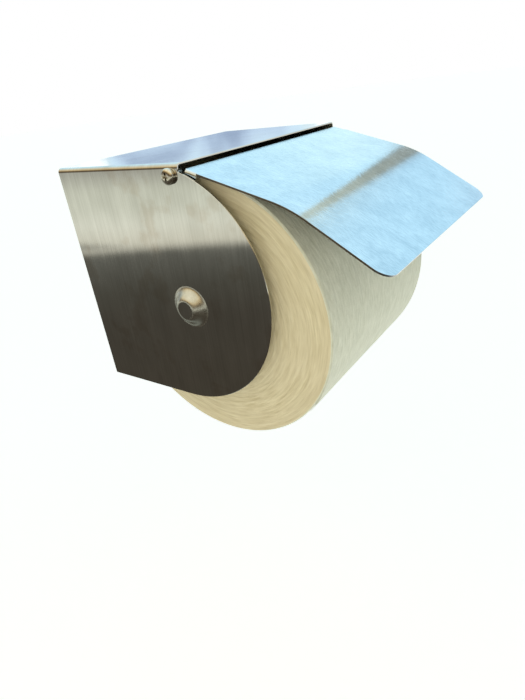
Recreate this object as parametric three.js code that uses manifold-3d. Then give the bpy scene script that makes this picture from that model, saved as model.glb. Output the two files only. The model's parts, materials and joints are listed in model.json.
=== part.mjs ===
// Hooded toilet paper holder in folded sheet steel, with a hinged lid and a sprung telescopic spindle.
// Millimetres, +Z up. The wall is the plane Y = 0 and the holder stands out from it towards -Y.
// X = 0 is midway between the side plates, and Z = 0 is half way up the housing.
import * as THREE from 'three';
import { mergeVertices } from 'three/addons/utils/BufferGeometryUtils.js';
import Module from 'manifold-3d';

const wasm = await Module();
wasm.setup();

// ---- Housing: one sheet folded down at both sides
const housingWidth = 130;
const housingHeight = 109;
const topDepth = 75.6;
const frontReach = 111.5;
const sheetGauge = 0.8;
const foldRadius = 2;

// ---- Back plate: a shallow tray welded inside the rear of the housing
const backGauge = 1;
const backFlange = 10;
const backClearance = 0.2;
const wallHoleRadius = 2.4;
const wallHoleSpacingX = 92;
const wallHoleSpacingZ = 70;

// ---- Lid and its hinge
const pivotSetback = 4.8;
const pivotDrop = 4.7;
const pivotHoleRadius = 1.75;
const lidSideClearance = 0.75;
const lidRise = 4.08;
const lidRestGap = 0.34;
const lidRearLength = 53.9;
const lidBendTurn = 15.6 * Math.PI / 180;
const lidBendRadius = 60;
const lidFrontLength = 43.1;
const lidCornerRadius = 7;
const lidSweepClearance = 0.2;
const earEyeClearance = 0.5;
const earLength = 12;
const earDepth = 8.6;
const earHeelForward = 3.46;
const earToeSetback = 2.15;
const earToeDepth = 6.02;
const earNotchAngle = -42 * Math.PI / 180;
const earEyeStart = -59 * Math.PI / 180;
const earEyeEnd = -126 * Math.PI / 180;

// ---- Hinge hardware
const screwHeadRadius = 3.2;
const screwHeadHeight = 2.2;
const screwHeadSideHeight = 1;
const screwShoulderHeight = 1.76;
const screwShoulderRadius = 2.82;
const screwCrownRadius = 2.3;
const screwCrownRise = 0.05;
const screwShankRadius = 1.45;
const screwEndChamfer = 0.3;
const crossRecessWidth = 1.2;
const crossRecessSpan = 4.2;
const crossRecessDepth = 1.3;
const nutAcrossFlats = 5.5;
const nutHeight = 2.4;
const washerFoldOverlap = 0.2;
const stackGap = 0.1;
const screwEndProud = 0.35;

// ---- Pressed bosses that carry the spindle
const bossSetback = 7.3;
const bossDrop = 60.5;
const bossBaseRadius = 9.75;
const bossFlatRadius = 4;
const bossHeight = 4;

// ---- Spindle
const spindleOuterRadius = 12.1;
const spindleWall = 0.8;
const spindleSlideGap = 0.1;
const spindleEndGap = 1.6;
const spindleOuterLength = 84;
const spindleInnerLength = 76;
const spindlePinRadius = 3.4;
const spindlePinGap = 0.3;
const spindleNoseRadius = 2.04;
const plugFlangeLength = 1.6;
const plugDepth = 12;
const plugFitGap = 0.05;
const plugStemChamfer = 0.6;
const plugFlangeChamfer = 0.5;
const springCoilRadius = 6;
const springWireRadius = 0.5;
const springTurns = 9;
const springEndGap = 0.3;
const springSeatHole = 4;

// ---- Paper roll, resting on the spindle
const rollWidth = 102.4;
const rollLeftGap = 5.1;
const rollRadius = 61.2;
const rollOuterLap = 0.4;
const rollEndAngle = 215 * Math.PI / 180;
const coreInnerRadius = 20.5;
const coreWall = 0.8;
const coreFitGap = 0.3;
const coreRestGap = 0.36;
const rollHangAngle = 38.5 * Math.PI / 180;

// ---- How finely curves are divided
const sideArcSteps = 40;
const smallArcSteps = 12;
const foldSteps = 6;
const bossSteps = 6;
const noseSteps = 5;
const turnSteps = 32;
const smallTurnSteps = 24;
const rollSteps = 96;
const wireSides = 5;
const wireStepsPerTurn = 14;
const margin = 1;
const weldDistance = 1e-4;

// ---- Places worked out from the sizes above
const outerX = housingWidth / 2;
const innerX = outerX - sheetGauge;
const topZ = housingHeight / 2;
const pivotY = -topDepth + pivotSetback;
const pivotZ = topZ - pivotDrop;
const bossY = -topDepth + bossSetback;
const bossZ = topZ - bossDrop;
const lidX = innerX - lidSideClearance;
const earInnerX = lidX - sheetGauge;
const earEyeRadius = pivotDrop - sheetGauge - earEyeClearance;
const washerOuterRadius = pivotDrop - foldRadius + washerFoldOverlap;

// The roll's core hangs on the spindle, leaning a little forward.
const hangOffset = coreInnerRadius - spindleOuterRadius - coreRestGap;
const rollY = bossY - hangOffset * Math.sin(rollHangAngle);
const rollZ = bossZ - hangOffset * Math.cos(rollHangAngle);
const rollLeftX = -innerX + rollLeftGap;
const rollRightX = rollLeftX + rollWidth;

const brushedSteel = new THREE.MeshStandardMaterial({ color: 0xb9bcb4, roughness: 0.32, metalness: 1 });
const lidSteel = new THREE.MeshStandardMaterial({ color: 0xc9d6da, roughness: 0.28, metalness: 1 });
const zincSteel = new THREE.MeshStandardMaterial({ color: 0xa9a9a4, roughness: 0.45, metalness: 1 });
const screwSteel = new THREE.MeshStandardMaterial({ color: 0xc9c3b4, roughness: 0.25, metalness: 1 });
const chromeSteel = new THREE.MeshStandardMaterial({ color: 0xd8dadb, roughness: 0.12, metalness: 1 });
const springSteel = new THREE.MeshStandardMaterial({ color: 0x8f9092, roughness: 0.35, metalness: 1 });
const whiteNylon = new THREE.MeshStandardMaterial({ color: 0xe9e8e2, roughness: 0.5, metalness: 0 });
const greyPlastic = new THREE.MeshStandardMaterial({ color: 0x8c8f90, roughness: 0.5, metalness: 0 });
const greyboard = new THREE.MeshStandardMaterial({ color: 0xa38f6d, roughness: 0.9, metalness: 0 });
const tissue = new THREE.MeshStandardMaterial({ color: 0xe4e2d6, roughness: 0.95, metalness: 0 });

// ---- Helpers: a geometry made into a solid, and a solid back into a named mesh

function weld(geometry) {
  const bare = geometry.clone();
  bare.deleteAttribute('normal');
  bare.deleteAttribute('uv');
  const merged = mergeVertices(bare, weldDistance);
  const kept = [];
  const index = merged.index.array;
  for (let i = 0; i < index.length; i += 3) {
    const [a, b, c] = [index[i], index[i + 1], index[i + 2]];
    if (a !== b && b !== c && c !== a) kept.push(a, b, c);
  }
  merged.setIndex(kept);
  return merged;
}

function solid(geometry) {
  const merged = weld(geometry);
  const vertProperties = new Float32Array(merged.attributes.position.array);
  const triVerts = new Uint32Array(merged.index.array);
  return new wasm.Manifold(new wasm.Mesh({ numProp: 3, vertProperties, triVerts }));
}

function named(name, body, material) {
  const cut = body.getMesh();
  const geometry = new THREE.BufferGeometry();
  geometry.setAttribute('position', new THREE.BufferAttribute(cut.vertProperties, 3));
  geometry.setIndex(new THREE.BufferAttribute(cut.triVerts, 1));
  geometry.computeVertexNormals();
  const mesh = new THREE.Mesh(geometry, material);
  mesh.name = name;
  return mesh;
}

// A flat outline drawn in (Y, Z), made solid between two X positions.
function acrossX(shape, xFrom, xTo, curveSegments = smallArcSteps) {
  const geometry = new THREE.ExtrudeGeometry(shape, {
    depth: xTo - xFrom, steps: 1, bevelEnabled: false, curveSegments,
  });
  const alongX = new THREE.Matrix4().makeBasis(
    new THREE.Vector3(0, 1, 0), new THREE.Vector3(0, 0, 1), new THREE.Vector3(1, 0, 0));
  geometry.applyMatrix4(alongX.setPosition(xFrom, 0, 0));
  return solid(geometry);
}

// A flat outline drawn in (X, Z), made solid from the wall plane towards the front.
function fromWall(shape, yFrom, depth) {
  const geometry = new THREE.ExtrudeGeometry(shape, {
    depth, steps: 1, bevelEnabled: false, curveSegments: foldSteps,
  });
  const alongMinusY = new THREE.Matrix4().makeBasis(
    new THREE.Vector3(1, 0, 0), new THREE.Vector3(0, 0, 1), new THREE.Vector3(0, -1, 0));
  geometry.applyMatrix4(alongMinusY.setPosition(0, yFrom, 0));
  return solid(geometry);
}

// A profile of [x, radius] points turned about the line through (y, z) that runs along X.
function turned(profile, y, z, steps = turnSteps) {
  const points = profile.map(([x, radius]) => new THREE.Vector2(radius, x));
  if (THREE.ShapeUtils.area(points) < 0) points.reverse();
  const geometry = new THREE.LatheGeometry(points, steps);
  geometry.rotateZ(-Math.PI / 2);
  geometry.translate(0, y, z);
  return solid(geometry);
}

function closed(profile) {
  return [...profile, profile[0]];
}

function ring(xFrom, xTo, innerRadius, outerRadius, y, z, steps = turnSteps) {
  const section = [[xFrom, innerRadius], [xFrom, outerRadius], [xTo, outerRadius], [xTo, innerRadius]];
  return turned(closed(section), y, z, steps);
}

function rod(xFrom, xTo, radius, y, z, steps = turnSteps) {
  return turned([[xFrom, 0], [xFrom, radius], [xTo, radius], [xTo, 0]], y, z, steps);
}

function box(low, high) {
  const size = high.map((value, i) => value - low[i]);
  const geometry = new THREE.BoxGeometry(...size);
  geometry.translate(...low.map((value, i) => value + size[i] / 2));
  return solid(geometry);
}

// ---- Housing

function housingSection() {
  const bendX = outerX - foldRadius;
  const bendZ = topZ - foldRadius;
  const innerBend = foldRadius - sheetGauge;
  const section = new THREE.Shape();
  section.moveTo(outerX, -topZ);
  section.lineTo(outerX, bendZ);
  section.absarc(bendX, bendZ, foldRadius, 0, Math.PI / 2, false);
  section.absarc(-bendX, bendZ, foldRadius, Math.PI / 2, Math.PI, false);
  section.lineTo(-outerX, -topZ);
  section.lineTo(-innerX, -topZ);
  section.absarc(-bendX, bendZ, innerBend, Math.PI, Math.PI / 2, true);
  section.absarc(bendX, bendZ, innerBend, Math.PI / 2, 0, true);
  section.lineTo(innerX, -topZ);
  return section;
}

// The side plate ends in a half round as tall as the housing; the top stops short of it.
function sideOutline() {
  const roundY = -frontReach + topZ;
  const startAngle = Math.acos((-topDepth - roundY) / topZ);
  const outline = new THREE.Shape();
  outline.moveTo(0, -topZ);
  outline.lineTo(0, topZ);
  outline.lineTo(-topDepth, topZ);
  outline.absarc(roundY, 0, topZ, startAngle, 3 * Math.PI / 2, false);
  return outline;
}

// Height of the pressed boss at a radius: an S-shaped wall between the plate and the flat.
function bossRise(radius) {
  const along = (bossBaseRadius - radius) / (bossBaseRadius - bossFlatRadius);
  return bossHeight * (0.5 - 0.5 * Math.cos(Math.PI * along));
}

function bossProfile(side, plateX, rootX) {
  const profile = [[side * rootX, 0], [side * rootX, bossBaseRadius]];
  for (let i = 0; i <= bossSteps; i += 1) {
    const radius = bossBaseRadius + (bossFlatRadius - bossBaseRadius) * i / bossSteps;
    profile.push([side * (plateX + bossRise(radius)), radius]);
  }
  profile.push([side * (plateX + bossHeight), 0]);
  return profile;
}

function makeHousing() {
  const folded = fromWall(housingSection(), 0, frontReach + margin);
  let body = folded.intersect(acrossX(sideOutline(), -outerX - margin, outerX + margin, sideArcSteps));
  for (const side of [-1, 1]) {
    const pressed = turned(bossProfile(side, outerX, outerX - sheetGauge / 2), bossY, bossZ);
    const hollow = turned(bossProfile(side, innerX, innerX - margin), bossY, bossZ);
    body = body.add(pressed).subtract(hollow);
  }
  const pivotDrill = rod(-outerX - margin, outerX + margin, pivotHoleRadius, pivotY, pivotZ, smallTurnSteps);
  return body.subtract(pivotDrill);
}

// ---- Back plate

// The tray's upper corners follow the inside of the housing's folds.
function trayShape() {
  const halfWidth = innerX - backClearance;
  const cornerX = outerX - foldRadius;
  const cornerZ = topZ - foldRadius;
  const cornerRadius = foldRadius - sheetGauge - backClearance;
  const tray = new THREE.Shape();
  tray.moveTo(-halfWidth, -topZ);
  tray.lineTo(halfWidth, -topZ);
  tray.absarc(cornerX, cornerZ, cornerRadius, 0, Math.PI / 2, false);
  tray.absarc(-cornerX, cornerZ, cornerRadius, Math.PI / 2, Math.PI, false);
  return tray;
}

function makeBackPlate() {
  const inside = innerX - backClearance - backGauge;
  const insideTop = topZ - sheetGauge - backClearance - backGauge;
  const hollow = box([-inside, -backFlange - margin, -topZ + backGauge], [inside, -backGauge, insideTop]);
  let body = fromWall(trayShape(), 0, backFlange).subtract(hollow);
  for (const x of [-wallHoleSpacingX / 2, wallHoleSpacingX / 2]) {
    for (const z of [-wallHoleSpacingZ / 2, wallHoleSpacingZ / 2]) {
      const drillLength = 3 * backGauge;
      const drill = new THREE.CylinderGeometry(wallHoleRadius, wallHoleRadius, drillLength, smallTurnSteps);
      body = body.subtract(solid(drill.translate(x, -backGauge / 2, z)));
    }
  }
  return body;
}

// ---- Lid, in (Y, Z): its top surface lies lidRise above the pivot and slopes so that it rests on the roll

const rollReach = rollRadius + rollOuterLap + lidRestGap;
const rollAhead = pivotY - rollY;
const rollBelow = pivotZ - rollZ;
const lidSlope = Math.asin((lidRise - sheetGauge - rollReach) / Math.hypot(rollAhead, rollBelow))
  + Math.atan2(rollBelow, rollAhead);
const frontSlope = lidSlope + lidBendTurn;
const rearDirection = new THREE.Vector2(-Math.cos(lidSlope), -Math.sin(lidSlope));
const frontDirection = new THREE.Vector2(-Math.cos(frontSlope), -Math.sin(frontSlope));
const rearNormal = new THREE.Vector2(rearDirection.y, -rearDirection.x);
const lidStart = new THREE.Vector2(pivotY, pivotZ).addScaledVector(rearNormal, lidRise);
const lidCorner = lidStart.clone().addScaledVector(rearDirection, lidRearLength);
const lidFront = lidCorner.clone().addScaledVector(frontDirection, lidFrontLength);
const sweepRadius = Math.hypot(pivotSetback, pivotDrop) + lidSweepClearance;

function lidSheet() {
  const tangent = lidBendRadius * Math.tan(lidBendTurn / 2);
  const bendStart = lidCorner.clone().addScaledVector(rearDirection, -tangent);
  const frontNormal = new THREE.Vector2(frontDirection.y, -frontDirection.x);
  const bendCentre = bendStart.clone().addScaledVector(rearNormal, -lidBendRadius);
  const startAngle = rearNormal.angle();
  const endAngle = startAngle + lidBendTurn;
  const rearUnder = lidStart.clone().addScaledVector(rearNormal, -sheetGauge);
  const frontUnder = lidFront.clone().addScaledVector(frontNormal, -sheetGauge);
  const outline = new THREE.Shape();
  outline.moveTo(lidStart.x, lidStart.y);
  outline.lineTo(bendStart.x, bendStart.y);
  outline.absarc(bendCentre.x, bendCentre.y, lidBendRadius, startAngle, endAngle, false);
  outline.lineTo(lidFront.x, lidFront.y);
  outline.lineTo(frontUnder.x, frontUnder.y);
  outline.absarc(bendCentre.x, bendCentre.y, lidBendRadius - sheetGauge, endAngle, startAngle, true);
  outline.lineTo(rearUnder.x, rearUnder.y);
  const hingeSweep = rod(-outerX - margin, outerX + margin, sweepRadius, pivotY, pivotZ, rollSteps);
  return acrossX(outline, -outerX, outerX).subtract(hingeSweep);
}

// The lid's blank seen square on: straight sides and two rounded front corners.
function lidBlank() {
  const length = topDepth + frontReach;
  const blank = new THREE.Shape();
  blank.moveTo(-lidX, length);
  blank.lineTo(-lidX, lidCornerRadius);
  blank.absarc(-lidX + lidCornerRadius, lidCornerRadius, lidCornerRadius, Math.PI, 1.5 * Math.PI, false);
  blank.absarc(lidX - lidCornerRadius, lidCornerRadius, lidCornerRadius, 1.5 * Math.PI, 2 * Math.PI, false);
  blank.lineTo(lidX, length);
  const geometry = new THREE.ExtrudeGeometry(blank, {
    depth: 2 * frontReach, steps: 1, bevelEnabled: false, curveSegments: smallArcSteps,
  });
  geometry.translate(0, 0, -frontReach);
  geometry.applyMatrix4(new THREE.Matrix4().makeBasis(
    new THREE.Vector3(1, 0, 0),
    new THREE.Vector3(0, -frontDirection.x, -frontDirection.y),
    new THREE.Vector3(0, frontDirection.y, -frontDirection.x)).setPosition(0, lidFront.x, lidFront.y));
  return solid(geometry);
}

// An ear hooks round the front edge of the housing's top from below, so that the lid can swing up.
function earOutline() {
  const midRise = lidRise - sheetGauge / 2;
  const midPlane = (forward) => (midRise - forward * Math.sin(lidSlope)) / Math.cos(lidSlope);
  const notchTop = Math.asin(midRise / sweepRadius) - lidSlope;
  const outline = new THREE.Shape();
  outline.absarc(pivotY, pivotZ, earEyeRadius, Math.PI - earEyeStart, -Math.PI - earEyeEnd, true);
  outline.lineTo(pivotY - earHeelForward, pivotZ - earDepth);
  outline.lineTo(pivotY - earLength + earToeSetback, pivotZ - earToeDepth);
  outline.lineTo(pivotY - earLength, pivotZ + midPlane(earLength));
  outline.absarc(pivotY, pivotZ, sweepRadius, Math.PI - notchTop, Math.PI - earNotchAngle, false);
  const hole = new THREE.Path();
  hole.absarc(pivotY, pivotZ, pivotHoleRadius, 0, 2 * Math.PI, false);
  outline.holes.push(hole);
  return outline;
}

function makeLid() {
  const leftEar = acrossX(earOutline(), -outerX, -earInnerX);
  const rightEar = acrossX(earOutline(), earInnerX, outerX);
  return lidSheet().add(leftEar).add(rightEar).intersect(lidBlank());
}

// ---- Hinge hardware, for the left side (side = -1) or the right (side = 1)

function makeScrew(side) {
  const seat = outerX + stackGap;
  const top = seat + screwHeadHeight;
  const end = earInnerX - stackGap - nutHeight - screwEndProud;
  let body = turned([
    [side * end, 0],
    [side * end, screwShankRadius - screwEndChamfer],
    [side * (end + screwEndChamfer), screwShankRadius],
    [side * seat, screwShankRadius],
    [side * seat, screwHeadRadius],
    [side * (seat + screwHeadSideHeight), screwHeadRadius],
    [side * (seat + screwShoulderHeight), screwShoulderRadius],
    [side * top, screwCrownRadius],
    [side * (top + screwCrownRise), 0],
  ], pivotY, pivotZ, smallTurnSteps);
  const low = side > 0 ? top - crossRecessDepth : -top - margin;
  const high = side > 0 ? top + margin : -top + crossRecessDepth;
  for (const [spanY, spanZ] of [[crossRecessSpan, crossRecessWidth], [crossRecessWidth, crossRecessSpan]]) {
    body = body.subtract(box(
      [low, pivotY - spanY / 2, pivotZ - spanZ / 2],
      [high, pivotY + spanY / 2, pivotZ + spanZ / 2]));
  }
  return body;
}

function makeWasher(side) {
  const inner = lidX + stackGap;
  const outer = innerX - stackGap;
  const [bore, rim] = [pivotHoleRadius, washerOuterRadius];
  return ring(side * inner, side * outer, bore, rim, pivotY, pivotZ, smallTurnSteps);
}

function makeNut(side) {
  const outer = earInnerX - stackGap;
  const corner = nutAcrossFlats / Math.sqrt(3);
  const hexagon = new THREE.Shape();
  for (let i = 0; i < 6; i += 1) {
    const angle = i * Math.PI / 3;
    const point = [pivotY + corner * Math.cos(angle), pivotZ + corner * Math.sin(angle)];
    if (i === 0) hexagon.moveTo(...point);
    else hexagon.lineTo(...point);
  }
  const bore = new THREE.Path();
  bore.absarc(pivotY, pivotZ, screwShankRadius + stackGap, 0, 2 * Math.PI, false);
  hexagon.holes.push(bore);
  const faces = [side * outer, side * (outer - nutHeight)].sort((a, b) => a - b);
  return acrossX(hexagon, ...faces);
}

// ---- Spindle: an outer tube on the left, an inner tube sliding in it on the right

const spindleEndX = innerX - spindleEndGap;
const spindleInnerRadius = spindleOuterRadius - spindleWall - spindleSlideGap;
const tubeEndX = spindleEndX - plugFlangeLength - stackGap;
const outerTubeOpenX = -tubeEndX + spindleOuterLength;
const innerTubeSeatX = tubeEndX - spindleInnerLength;
const leftPlugFaceX = -tubeEndX + plugDepth;

function makeOuterTube() {
  const bore = spindleOuterRadius - spindleWall;
  return ring(-tubeEndX, outerTubeOpenX, bore, spindleOuterRadius, bossY, bossZ);
}

// The inner tube's hidden end is turned in, and the spring pushes against it.
function makeInnerTube() {
  const bore = spindleInnerRadius - spindleWall;
  return turned(closed([
    [innerTubeSeatX, springSeatHole],
    [innerTubeSeatX, spindleInnerRadius],
    [tubeEndX, spindleInnerRadius],
    [tubeEndX, bore],
    [innerTubeSeatX + spindleWall, bore],
    [innerTubeSeatX + spindleWall, springSeatHole],
  ]), bossY, bossZ);
}

// A moulded plug: a stem pressed into the tube, a flange, and a round-nosed pin for the boss.
function makePlug(side, tubeRadius) {
  const stem = tubeRadius - spindleWall - plugFitGap;
  const pinTip = innerX + bossHeight - spindlePinGap;
  const profile = [
    [side * (tubeEndX - plugDepth), 0],
    [side * (tubeEndX - plugDepth), stem - plugStemChamfer],
    [side * (tubeEndX - plugDepth + plugStemChamfer), stem],
    [side * (tubeEndX + stackGap), stem],
    [side * (tubeEndX + stackGap), tubeRadius],
    [side * (spindleEndX - plugFlangeChamfer), tubeRadius],
    [side * spindleEndX, tubeRadius - plugFlangeChamfer],
    [side * spindleEndX, spindlePinRadius],
  ];
  for (let i = 0; i <= noseSteps; i += 1) {
    const angle = i / noseSteps * Math.PI / 2;
    const x = pinTip - spindleNoseRadius * (1 - Math.sin(angle));
    const radius = spindlePinRadius - spindleNoseRadius * (1 - Math.cos(angle));
    profile.push([side * x, radius]);
  }
  profile.push([side * pinTip, 0]);
  return turned(profile, bossY, bossZ);
}

class SpringLine extends THREE.Curve {
  constructor(xFrom, xTo) {
    super();
    this.xFrom = xFrom;
    this.xTo = xTo;
  }

  getPoint(t, target = new THREE.Vector3()) {
    const angle = t * springTurns * 2 * Math.PI;
    const x = this.xFrom + (this.xTo - this.xFrom) * t;
    const y = bossY + springCoilRadius * Math.cos(angle);
    const z = bossZ + springCoilRadius * Math.sin(angle);
    return target.set(x, y, z);
  }
}

function makeSpring() {
  const reach = springWireRadius + springEndGap;
  const line = new SpringLine(leftPlugFaceX + reach, innerTubeSeatX - reach);
  const wire = new THREE.Shape();
  for (let i = 0; i < wireSides; i += 1) {
    const angle = i / wireSides * 2 * Math.PI;
    const point = [springWireRadius * Math.cos(angle), springWireRadius * Math.sin(angle)];
    if (i === 0) wire.moveTo(...point);
    else wire.lineTo(...point);
  }
  return solid(new THREE.ExtrudeGeometry(wire, {
    steps: springTurns * wireStepsPerTurn, bevelEnabled: false, extrudePath: line,
  }));
}

// ---- Paper roll

function makeCore() {
  const coreOuterRadius = coreInnerRadius + coreWall;
  return ring(rollLeftX, rollRightX, coreInnerRadius, coreOuterRadius, rollY, rollZ, rollSteps / 2);
}

// The outermost turn ends in a small step where the last sheet lies on the roll.
function makeRoll() {
  const outline = new THREE.Shape();
  for (let i = 0; i <= rollSteps; i += 1) {
    const angle = rollEndAngle + i / rollSteps * 2 * Math.PI;
    const radius = rollRadius + rollOuterLap * i / rollSteps;
    const point = [rollY + radius * Math.cos(angle), rollZ + radius * Math.sin(angle)];
    if (i === 0) outline.moveTo(...point);
    else outline.lineTo(...point);
  }
  const middle = new THREE.Path();
  middle.absarc(rollY, rollZ, coreInnerRadius + coreWall + coreFitGap, 0, 2 * Math.PI, false);
  outline.holes.push(middle);
  return acrossX(outline, rollLeftX, rollRightX, rollSteps / 4);
}

const holder = new THREE.Group();
holder.add(named('housing', makeHousing(), brushedSteel));
holder.add(named('back_plate', makeBackPlate(), zincSteel));
holder.add(named('lid', makeLid(), lidSteel));
for (const [side, word] of [[-1, 'left'], [1, 'right']]) {
  holder.add(named(`pivot_screw_${word}`, makeScrew(side), screwSteel));
  holder.add(named(`pivot_washer_${word}`, makeWasher(side), whiteNylon));
  holder.add(named(`pivot_nut_${word}`, makeNut(side), zincSteel));
}
holder.add(named('spindle_outer_tube', makeOuterTube(), chromeSteel));
holder.add(named('spindle_inner_tube', makeInnerTube(), chromeSteel));
holder.add(named('spindle_left_plug', makePlug(-1, spindleOuterRadius), greyPlastic));
holder.add(named('spindle_right_plug', makePlug(1, spindleInnerRadius), greyPlastic));
holder.add(named('spindle_spring', makeSpring(), springSteel));
holder.add(named('paper_core', makeCore(), greyboard));
holder.add(named('paper_roll', makeRoll(), tissue));

export default holder;
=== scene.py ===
# %% [markdown]
# # A hooded toilet paper holder
# The real holder is one folded sheet of brushed stainless steel, screwed to a wall. A lid of the same
# sheet hangs on two screws and rests on the paper. The roll sits on a sprung spindle, whose pins snap
# into two bosses pressed out of the side plates. The plain design model is loaded first, and every
# piece below is made around it, in metres, in the same frame.

# %% Load the frame
import json
import math

import bmesh
import bpy
from mathutils import Matrix, Vector, noise


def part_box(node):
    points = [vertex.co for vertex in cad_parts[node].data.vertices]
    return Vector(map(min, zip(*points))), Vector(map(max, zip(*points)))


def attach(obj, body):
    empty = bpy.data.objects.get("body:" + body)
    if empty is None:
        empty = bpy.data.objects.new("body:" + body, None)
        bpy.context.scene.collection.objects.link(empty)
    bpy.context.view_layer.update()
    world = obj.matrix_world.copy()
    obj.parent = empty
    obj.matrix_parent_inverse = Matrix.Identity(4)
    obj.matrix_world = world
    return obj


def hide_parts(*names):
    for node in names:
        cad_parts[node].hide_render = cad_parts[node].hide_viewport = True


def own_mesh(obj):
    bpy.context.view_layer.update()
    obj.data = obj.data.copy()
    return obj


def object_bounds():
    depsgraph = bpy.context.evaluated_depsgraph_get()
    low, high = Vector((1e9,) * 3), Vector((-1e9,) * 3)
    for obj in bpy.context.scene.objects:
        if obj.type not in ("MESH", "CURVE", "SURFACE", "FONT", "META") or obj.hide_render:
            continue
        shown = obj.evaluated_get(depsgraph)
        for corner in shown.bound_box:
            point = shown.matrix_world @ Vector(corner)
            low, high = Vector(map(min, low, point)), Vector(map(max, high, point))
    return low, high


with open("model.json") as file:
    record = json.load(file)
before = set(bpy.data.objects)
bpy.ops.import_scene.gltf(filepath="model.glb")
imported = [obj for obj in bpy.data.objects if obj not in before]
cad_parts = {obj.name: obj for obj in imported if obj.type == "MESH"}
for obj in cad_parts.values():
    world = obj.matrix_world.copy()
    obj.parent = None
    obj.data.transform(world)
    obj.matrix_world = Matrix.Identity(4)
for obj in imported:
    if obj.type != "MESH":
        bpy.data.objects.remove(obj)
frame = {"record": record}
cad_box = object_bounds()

MM = 0.001
WELD = 1e-6

# %% [markdown]
# ## Camera
# The camera stands at the front left of the holder, a little above it, and is rolled slightly, as one
# held in the hand is. It is placed by its distance from the origin, its heading from the wall's
# direction (+Y) towards +X, its pitch and its roll. A tracking constraint could not give the roll.

# %% Camera
CAMERA_PLACE = Vector((-213.071, -219.886, 75.142)) * MM
CAMERA_HEADING = math.radians(52.105)
CAMERA_PITCH = math.radians(-27.048)
CAMERA_ROLL = math.radians(7.937)
CAMERA_LENS = 25.97

camera_data = bpy.data.cameras.new("camera")
camera_data.lens = CAMERA_LENS
camera_data.clip_start = 10 * MM
camera = bpy.data.objects.new("camera", camera_data)
bpy.context.scene.collection.objects.link(camera)
camera.matrix_world = (
    Matrix.Translation(CAMERA_PLACE)
    @ Matrix.Rotation(-CAMERA_HEADING, 4, "Z")
    @ Matrix.Rotation(math.pi / 2 + CAMERA_PITCH, 4, "X")
    @ Matrix.Rotation(-CAMERA_ROLL, 4, "Z")
)
bpy.context.scene.camera = camera
print("camera at", [round(value, 4) for value in CAMERA_PLACE])

# %% [markdown]
# ## Two small helpers for materials
# Colours are written as sRGB hex values, and one function turns them to the linear values that the
# shaders work in. One function adds a node with its settings, its values or links and its colour
# stops, and hands back the node's outputs.


# %% Colours and nodes
def srgb(hex_text, alpha=1.0):
    channels = [int(hex_text[i:i + 2], 16) / 255 for i in (1, 3, 5)]
    linear = [c / 12.92 if c <= 0.04045 else ((c + 0.055) / 1.055) ** 2.4 for c in channels]
    return (*linear, alpha)


def add_node(tree, kind, inputs=(), stops=(), **settings):
    """Adds a shader node. `inputs` is a list in the node's own order, or a dictionary by name or number."""
    node = tree.nodes.new("ShaderNode" + kind)
    for name, value in settings.items():
        setattr(node, name, value)
    for name, value in inputs.items() if isinstance(inputs, dict) else enumerate(inputs):
        if isinstance(value, bpy.types.NodeSocket):
            tree.links.new(value, node.inputs[name])
        else:
            node.inputs[name].default_value = value
    for i, (position, colour) in enumerate(stops):
        ramp = node.color_ramp.elements
        stop = ramp[i] if i < 2 else ramp.new(position)
        stop.position = position
        stop.color = colour
    return node.outputs


print("linear value of mid grey", round(srgb("#808080")[0], 3))

# %% [markdown]
# ## The room that the steel mirrors
# Brushed steel has little colour of its own: it shows the room. A picture could be wrapped round the
# scene, but ramps of colour that change with height keep every edge where it is wanted. A ray's
# direction gives its height, from -1 straight down to 1 straight up, and its heading.

# %% Room
world = bpy.data.worlds.new("soft_room")
world.use_nodes = True
room = world.node_tree
room.nodes.clear()
direction = add_node(room, "TexCoord")["Generated"]
rightward, wallward, height = add_node(room, "SeparateXYZ", [direction])
heading = add_node(room, "Math", [rightward, wallward], operation="ARCTAN2")[0]


def height_ramp(rise, colours):
    """Colours by their angle above the horizon, in degrees."""
    stops = [((math.sin(math.radians(angle)) + 1) / 2, srgb(colour)) for angle, colour in colours]
    return add_node(room, "ValToRGB", [add_node(room, "MapRange", [rise, -1.0, 1.0])[0]], stops)["Color"]


print("room begun with", len(room.nodes), "nodes")

# %% [markdown]
# ## Left side of the room
# The left side plate mirrors a dim brown floor and, above a slanting edge, a pale wall. A grey skirting
# line thins out along that edge. A warm glow lies higher up, for the folded edge, the boss and the
# screw. The ramp is tilted by adding a share of the sideways direction.

# %% Floor, wall and skirting
LEFT_COLOURS = [
    (-90, "#3B3731"), (-30, "#403C35"), (-22, "#413E38"), (-18.5, "#474640"), (-14.4, "#5C5D58"),
    (-13.7, "#CCCBBE"), (-11.3, "#D6D9CE"), (-9.3, "#C9CDC1"), (-7.7, "#C4C8BC"), (-5.7, "#A0A19A"),
    (-3, "#8F8C82"), (4, "#50473A"), (14, "#62543F"), (20, "#AD9873"), (26, "#CDB98F"),
    (36, "#D6D1BB"), (46, "#D9D5C1"), (90, "#DEDBCD"),
]
LEFT_TILT = 0.145
LEFT_MIDDLE = -0.66
FLOOR_EDGE = -0.239
FLOOR_EDGE_BLUR = 0.004
SKIRTING_TILT = 0.323
SKIRTING_TOP = -0.0285
SKIRTING_BLUR = 0.006
SKIRTING_COLOUR = "#9A9B93"

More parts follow.
